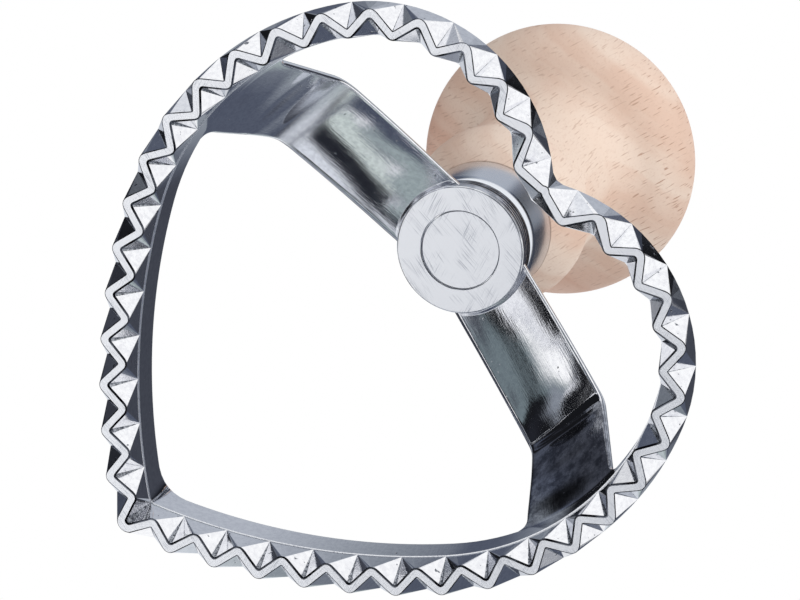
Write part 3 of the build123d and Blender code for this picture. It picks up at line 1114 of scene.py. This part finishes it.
@dataclass
class Ferrule:
    """Drawn cup that widens a little from its rounded shoulder to its turned lip."""

    axis_y: float
    radius: float = 7.85
    lower_radius: float = 7.55
    bore: float = 6.95
    wall: float = 0.7
    bottom: float = 31.2
    height: float = 8.0
    shoulder: float = 2.0
    shoulder_end: float = 357.0
    lip_gap: float = 0.02
    hole: float = 2.83
    points: tuple[int, ...] = (14, 12, 8)

    def build(self, plated: Material) -> Object:
        """Turn the cup.

        Args:
            plated: material.

        Returns:
            The object.
        """
        low, level, top = self.bottom, self.bottom + self.shoulder, self.bottom + self.height
        inner = self.shoulder - self.wall
        lip = (self.radius - self.bore) / 2 - self.lip_gap
        outside, over, inside = self.points
        profile = np.concatenate([
            [[self.hole, low]],
            arc_points((self.lower_radius - self.shoulder, level), self.shoulder, 270, self.shoulder_end, outside),
            arc_points((self.radius - lip, top - lip), lip, 0, 180, over),
            arc_points((self.bore - inner, level), inner, 360, 270, inside),
            [[self.hole, low + self.wall], [self.hole, low]],
        ])
        return turned_piece("ferrule_cup", profile, (0.0, self.axis_y), [plated], Node.FERRULE)


@dataclass
class Knob:
    """Turned handle: tenon, bead, waist, cove, rounded head and flat dome, as arcs that run into each other.

    Bead, waist, cove and crown edge are a radius and an angle, seat, tenon and bore a radius and a height.
    """

    axis_y: float
    seat: Pair = (7.9, 39.2)
    tenon: Pair = (6.9, 31.9)
    chamfer: float = 0.8
    bore: Pair = (2.83, 63.0)
    bead: Pair = (9.2, 45.0)
    waist: Pair = (32.0, 12.0)
    neck: float = 7.1
    cove: Pair = (8.0, 55.0)
    brim_radius: float = 9.0
    crown_edge: Pair = (8.0, 60.0)
    arc_count: int = 17

    def chain(self) -> Array:
        """Outline from the ferrule to the axis on top.

        Each arc starts where the last ended, with the same heading a: its points are the start plus
        R (sin b - sin a) and R (cos a - cos b) for headings b up to its end, with R negative for a right turn.
        The last arc has the radius that ends it on the axis.

        Returns:
            Points with radius and height.
        """
        lean, under, over = 90 + self.waist[1], 90 - self.cove[1], 90 + self.crown_edge[1]
        arcs = [(self.bead[0], self.bead[1], lean), (-self.waist[0], lean, 90), None, (-self.cove[0], 90, under),
                (self.brim_radius, under, 90), (self.crown_edge[0], 90, over), (None, over, 180)]
        outline = [np.array([self.seat])]
        for arc in arcs:
            place = outline[-1][-1]
            step = np.array([[0, self.neck]])
            if arc:
                radius, start, end = arc
                a, b = math.radians(start), np.radians(np.linspace(start, end, self.arc_count)[1:])
                radius = radius or place[0] / math.sin(a)
                step = radius * np.stack([np.sin(b) - math.sin(a), math.cos(a) - np.cos(b)], -1)
            outline.append(place + step)
        outline[-1][-1, 0] = 0
        return np.concatenate(outline)

    def build(self, wood: Material) -> Object:
        """Turn the knob.

        Args:
            wood: material.

        Returns:
            The object.
        """
        (radius, bottom), (bore, end), cut = self.tenon, self.bore, self.chamfer
        inside = [[0, end], [bore, end], [bore, bottom], [radius - cut, bottom], [radius, bottom + cut],
                  [radius, self.seat[1]]]
        profile = np.concatenate([inside, self.chain()])
        return turned_piece("turned_knob", profile, (0.0, self.axis_y), [wood], Node.KNOB)


@dataclass(frozen=True)
class Ring:
    """Ring of the light tent round the line of view: where it starts, and the cloths that hang in it.

    Angles are in degrees: `start` off the line back to the camera, and each cloth's place counted from the right of
    the picture anticlockwise.
    """

    start: float
    soft: float
    cloths: Cloths


def front_cloths(lower: Cloth, upper: Cloth) -> Cloths:
    """Cloths round the camera, with one at the lower right and one at the top that the bridge sees in the wall."""
    return ((-180, WHITE), (-133, WHITE), (-124, GREY), (-95, SLATE), (-46, SLATE), (-40, lower), (-9, lower),
            (-1, ASH), (78, ASH), (85, upper), (109, upper), (118, ASH), (150, SILVER), (180, WHITE))


def side_cloths(inner: Cloths, last: Cloths) -> Cloths:
    """Cloths of a ring beside the object.

    Args:
        inner: cloths in the white part on the right.
        last: cloths on the left that the lower half of the bridge reflects.

    Returns:
        All cloths of the ring, in order.
    """
    before = ((-167, BLACK), (-161, WHITE), (-128, WHITE), (-114, SILVER), (-108, SLATE), (-96, SLATE), (-91, SAGE),
              (-86, MIST), (-83, MIST), (-81.5, CHARCOAL), (-75.6, CHARCOAL), (-73.6, PALE), (-66, PALE),
              (-48, SLATE), (-40, SILVER), (-32, WHITE))
    after = ((106, WHITE), (114, PALE), (121, SLATE), (128, CHARCOAL), (140, SLATE))
    return (*before, *inner, *after, *last)


def low_cloths(left: Cloths, right: Cloths, leg: Cloths) -> Cloths:
    """Cloths of a ring behind the object.

    Args:
        left: cloths that the upper left leg of the bridge reflects.
        right: cloths for the outside of the wall and the ferrule.
        leg: cloths for the lower right leg.

    Returns:
        All cloths of the ring, in order.
    """
    far = ((-180, SILVER), (-168, SLATE), (-155, BLACK), (-142, CHARCOAL), (-131, GREY), (-108, SILVER), (-90, WHITE))
    top = ((56, SILVER), (84, SILVER), (94, GREY), (102, SLATE), (122, SLATE))
    return (*far, *left, *right, *top, *leg, (171, SLATE), (180, SILVER))


VEIL = ((46, WHITE), (52, SILVER), (62, SILVER), (70, WHITE))
DARK_RIGHT = ((-24, ASH), (10, ASH), (20, CHARCOAL), (27, BLACK), (40, BLACK), (49, SLATE))
BLACK_LEG = ((127, GREY), (133, BLACK), (162, BLACK))
RINGS = (
    Ring(0, 0, front_cloths(WHITE, SAGE)),
    Ring(43.2, 0.6, front_cloths(BLACK, SLATE)),
    Ring(53.5, 1.5, side_cloths(VEIL, (
        (149, MOSS), (153.5, MOSS), (155.2, ASH), (160.5, ASH), (162, BLACK), (165.3, BLACK), (166.7, WHITE)))),
    Ring(57.3, 0.9, side_cloths(VEIL, ((149, MOSS), (159.8, MOSS), (161, BLACK), (166.4, BLACK), (167.4, WHITE)))),
    Ring(62.3, 0.5, side_cloths(VEIL, (
        (149, BLACK), (160.8, BLACK), (161.4, MOSS), (162, MOSS), (162.8, BLACK), (166.4, BLACK), (167.5, WHITE)))),
    Ring(65.4, 0.6, side_cloths((), (
        (149, CHARCOAL), (161.8, BLACK), (163.2, MOSS), (165.4, MOSS), (167, WHITE), (174, WHITE), (176, BLACK)))),
    Ring(69.5, 1.5, side_cloths((), (
        (149, BLACK), (157.5, BLACK), (160.5, GREY), (165, GREY), (166.8, MOSS), (168.6, WHITE), (174, WHITE),
        (176, BLACK)))),
    Ring(77.5, 1.0, side_cloths((), ((146, BLACK), (180, BLACK)))),
    Ring(105, 5, low_cloths(
        ((-82, PALE), (-76, SAGE), (-66, SILVER), (-62.5, ASH), (-59, ASH), (-56, SLATE), (-36, SLATE)),
        DARK_RIGHT, BLACK_LEG)),
    Ring(123, 3, low_cloths(
        ((-82, PALE), (-72, GREY), (-60, SLATE), (-36, SLATE)), DARK_RIGHT,
        ((126, GREY), (133, SLATE), (139, ASH), (148, ASH), (162, BLACK)))),
    Ring(134, 3, low_cloths(
        ((-82, PALE), (-70, SAGE), (-61, GREY), (-56, SLATE), (-36, SLATE)),
        ((-24, ASH), (6, ASH), (14, GREY), (24, SILVER), (49, SILVER)), BLACK_LEG)),
    Ring(160, 6, (
        (-180, PALE), (-120, PALE), (-40, GREY), (0, SLATE), (60, GREY), (140, GREY), (180, PALE))),
)


@dataclass(frozen=True)
class TentCloth(Finish):
    """White, grey and black cloth in rings round the line of view, lit evenly from outside."""

    name: str = "Tent_cloth_in_rings"
    strength: float = 1.08
    axes: tuple[Triple, ...] = ()

    def shade(self, tree: Tree) -> Socket:
        """Add the nodes of the shader.

        Args:
            tree: nodes of the material.

        Returns:
            The shader.
        """
        unit = add(tree, "VectorMath", {"operation": "NORMALIZE"}, input_0=add(tree, "TexCoord", out="Object"))
        right, up, back = (add(tree, "VectorMath", {"operation": "DOT_PRODUCT"}, "Value", input_0=unit,
                               input_1=Vector(axis).normalized()) for axis in self.axes)
        clock = add(tree, "Math", {"operation": "ARCTAN2"}, input_0=up, input_1=right)
        share = add(tree, "MapRange", Value=clock, **span(-math.pi, math.pi))
        off_axis = add(tree, "Math", {"operation": "ARCCOSINE"}, input_0=back)
        colour = None
        for ring in RINGS:
            stops = [((angle + 180) / 360, cloth.value) for angle, cloth in ring.cloths]
            cloths = add(tree, "ValToRGB", stops=stops, Fac=share)
            if colour is not None:
                begin, end = np.radians([ring.start - ring.soft, ring.start + ring.soft]).tolist()
                cover = add(tree, "MapRange", SMOOTH, Value=off_axis, **span(begin, end))
                cloths = add(tree, "Mix", COLOUR, 2, Factor=cover, input_6=colour, input_7=cloths)
            colour = cloths
        return add(tree, "Emission", Color=colour, Strength=self.strength)


@dataclass(frozen=True)
class FloorPaper(Finish):
    """Pale paper, seen only by a camera above it, so that light and a view from below pass through."""

    name: str = "Floor_pale_paper"
    colour: str = "#f4f4f4"

    def shade(self, tree: Tree) -> Socket:
        """Add the nodes of the shader.

        Args:
            tree: nodes of the material.

        Returns:
            The shader.
        """
        front = add(tree, "Math", {"operation": "SUBTRACT"}, input_0=1.0,
                    input_1=add(tree, "NewGeometry", out="Backfacing"))
        seen = add(tree, "Math", {"operation": "MULTIPLY"}, input_1=front,
                   input_0=add(tree, "LightPath", out="Is Camera Ray"))
        return add(tree, "MixShader", Fac=seen, input_1=add(tree, "BsdfTransparent"),
                   input_2=add(tree, "BsdfDiffuse", Color=self.colour))


@dataclass
class Studio:
    """Pale floor, white room, light tent with grey and black cloths, lamps and the camera of the photograph.

    Lamps are name, direction, distance, size and power.
    """

    tent_radius: float = 1.6
    tent_rows: int = 33
    tent_columns: int = 64
    floor_reach: float = 3.0
    room_light: float = 0.6
    lamps: tuple[tuple[str, Triple, float, float, float], ...] = (
        ("key", (-0.15, 0.98, 0.0), 0.9, 0.7, 4.1), ("top", (-0.4, -0.2, 1.0), 1.0, 0.8, 5.0))
    lamp_target: Triple = (0, 0, 0.03)
    camera_axes: tuple[Triple, ...] = (
        (-0.6291, 0.7261, 0.2776), (0.7771, 0.5774, 0.2509), (0.0219, 0.3735, -0.9274))
    camera_place: Triple = (9.79, 168.45, -395.38)
    camera_clip: Pair = (0.01, 20.0)
    focal_mm: float = 180.0
    sensor_mm: float = 36.0

    def build_tent(self) -> None:
        """Hang the tent: a dome that only reflections see, x = cos b cos a, y = cos b sin a, z = sin b."""
        columns, rows = self.tent_columns, self.tent_rows
        a, b = np.meshgrid(np.arange(columns) * 2 * np.pi / columns, np.linspace(-np.pi / 2, np.pi / 2, rows))
        dome = np.stack([np.cos(b) * np.cos(a), np.cos(b) * np.sin(a), np.sin(b)], -1).reshape(-1, 3)
        tent = put_mesh("light_tent", dome * self.tent_radius, [grid_faces(rows, columns)],
                        [TentCloth(axes=self.camera_axes).build()])
        tent.visible_camera = tent.visible_diffuse = tent.visible_shadow = False
        tent.visible_transmission = tent.visible_volume_scatter = False

    def build_floor(self) -> None:
        """Lay the pale floor."""
        corners = np.array([(-1, -1, 0), (1, -1, 0), (1, 1, 0), (-1, 1, 0)]) * self.floor_reach
        floor = put_mesh("floor", corners, [np.arange(4)[None]], [FloorPaper().build()])

    def build_world(self) -> None:
        """Light the room evenly; the camera, reflections and glass see it white."""
        world = bpy.data.worlds.new("white_room")
        world.use_nodes = True
        bpy.context.scene.world = world
        tree = world.node_tree
        tree.nodes.clear()
        seen = add(tree, "LightPath", out="Is Camera Ray")
        for ray in ("Is Glossy Ray", "Is Transmission Ray"):
            seen = add(tree, "Math", {"operation": "MAXIMUM"}, input_0=seen, input_1=add(tree, "LightPath", out=ray))
        strength = add(tree, "MapRange", Value=seen, **span(0.0, 1.0, self.room_light, 1.0))
        add(tree, "OutputWorld", Surface=add(tree, "Background", Color="#ffffff", Strength=strength))

    def build_lamps(self) -> None:
        """Hang two soft lamps: the photograph's key light and a lamp from above."""
        for name, towards, distance, size, power in self.lamps:
            lamp = bpy.data.lights.new(name, "AREA")
            lamp.shape, lamp.size, lamp.energy = "DISK", size, power
            holder = put_object(name, lamp)
            holder.visible_glossy = False
            direction = Vector(towards).normalized()
            holder.location = direction * distance + Vector(self.lamp_target)
            holder.rotation_euler = direction.to_track_quat("Z", "Y").to_euler()

    def build_camera(self) -> None:
        """Place the camera where the photograph was taken from."""
        data = bpy.data.cameras.new("photograph_view")
        data.lens, data.sensor_width = self.focal_mm, self.sensor_mm
        data.clip_start, data.clip_end = self.camera_clip
        camera = put_object("photograph_view", data)
        turn = Matrix([Vector(axis).normalized() for axis in self.camera_axes]).transposed().to_4x4()
        camera.matrix_world = Matrix.Translation(Vector(self.camera_place) * MM) @ turn
        bpy.context.scene.camera = camera

    def build(self) -> None:
        """Set up the whole stage."""
        bpy.context.scene.view_settings.view_transform = "Standard"
        self.build_world()
        self.build_tent()
        self.build_floor()
        self.build_lamps()
        self.build_camera()


def main() -> None:
    """Build every piece in order and set up the stage."""
    logging.basicConfig(level=logging.INFO, format="%(name)s: %(message)s")
    polished, ground = PolishedCasting().build(), GroundCasting().build()
    # Polished by hand with a wheel: a clearer mirror, with fine streaks along its length.
    by_hand = PolishedCasting("Aluminium_die_cast_hand_polished", roughness=(0.05, 0.08),
                              heights_mm=(0.001, 0.0038, 0.0012), flaw_share=(0.76, 0.8)).build()
    # Painted dark reflection: the rounded edge of the land gets dark patchy metal that outlines the zigzag, in place
    # of the dark surroundings that such an edge reflects.
    edge = MottledCasting("Aluminium_edge_painted_dark_reflection", "#17181c", "#7c808a", roughness=0.25, patch_mm=2.6).build()
    # Painted shade: the bottoms of the flutes get a grainy grey, darker than the facets, for the shade in the crease;
    # the wheel does not reach them, and they stay grainy as they came from the mould.
    root = MottledCasting("Aluminium_grainy_painted_valley_shade", "#5a5d66", "#ccd0d6", roughness=0.42, patch_mm=0.3,
                          dark_share=(0.36, 0.62), fineness=0.6, grain_bump=(0.8, 0.02)).build()
    # The side of the boss is turned: bright next to its face, and a darker copy on the rest of it, painted shade
    # towards the ferrule.
    turned, gap_shade = (
        MottledCasting(name, dark, light, roughness=0.15, patch_mm=1.8).build() for name, dark, light in (
            ("Aluminium_turned_bright", "#b4b7be", "#eceef2"),
            ("Aluminium_turned_painted_gap_shade", "#3c3e46", "#a9acb4")))
    outline = HeartOutline()
    wall = FlutedWall(outline)
    wall.build([polished, ground, edge, root, by_hand])
    # The handle stands a little off the widest part of the heart, towards its point.
    shift = 1.2
    axis_y = outline.widest_y - shift
    flank = outline.radii[2]
    rim_radius = flank + sum(wall.rim) / 2
    foot_x = outline.width / 2 - flank + math.sqrt(rim_radius ** 2 - shift ** 2)
    bridge = Bridge(axis_y, foot_x, rim_radius, shift)
    bridge.build_strap(by_hand)
    bridge.build_boss([ground, turned, gap_shade])
    Pin(axis_y).build(ground)
    Ferrule(axis_y).build(PlatedSteel().build())
    Knob(axis_y).build(TurnedBeech().build())
    Studio().build()


if __name__ == "__main__":
    main()
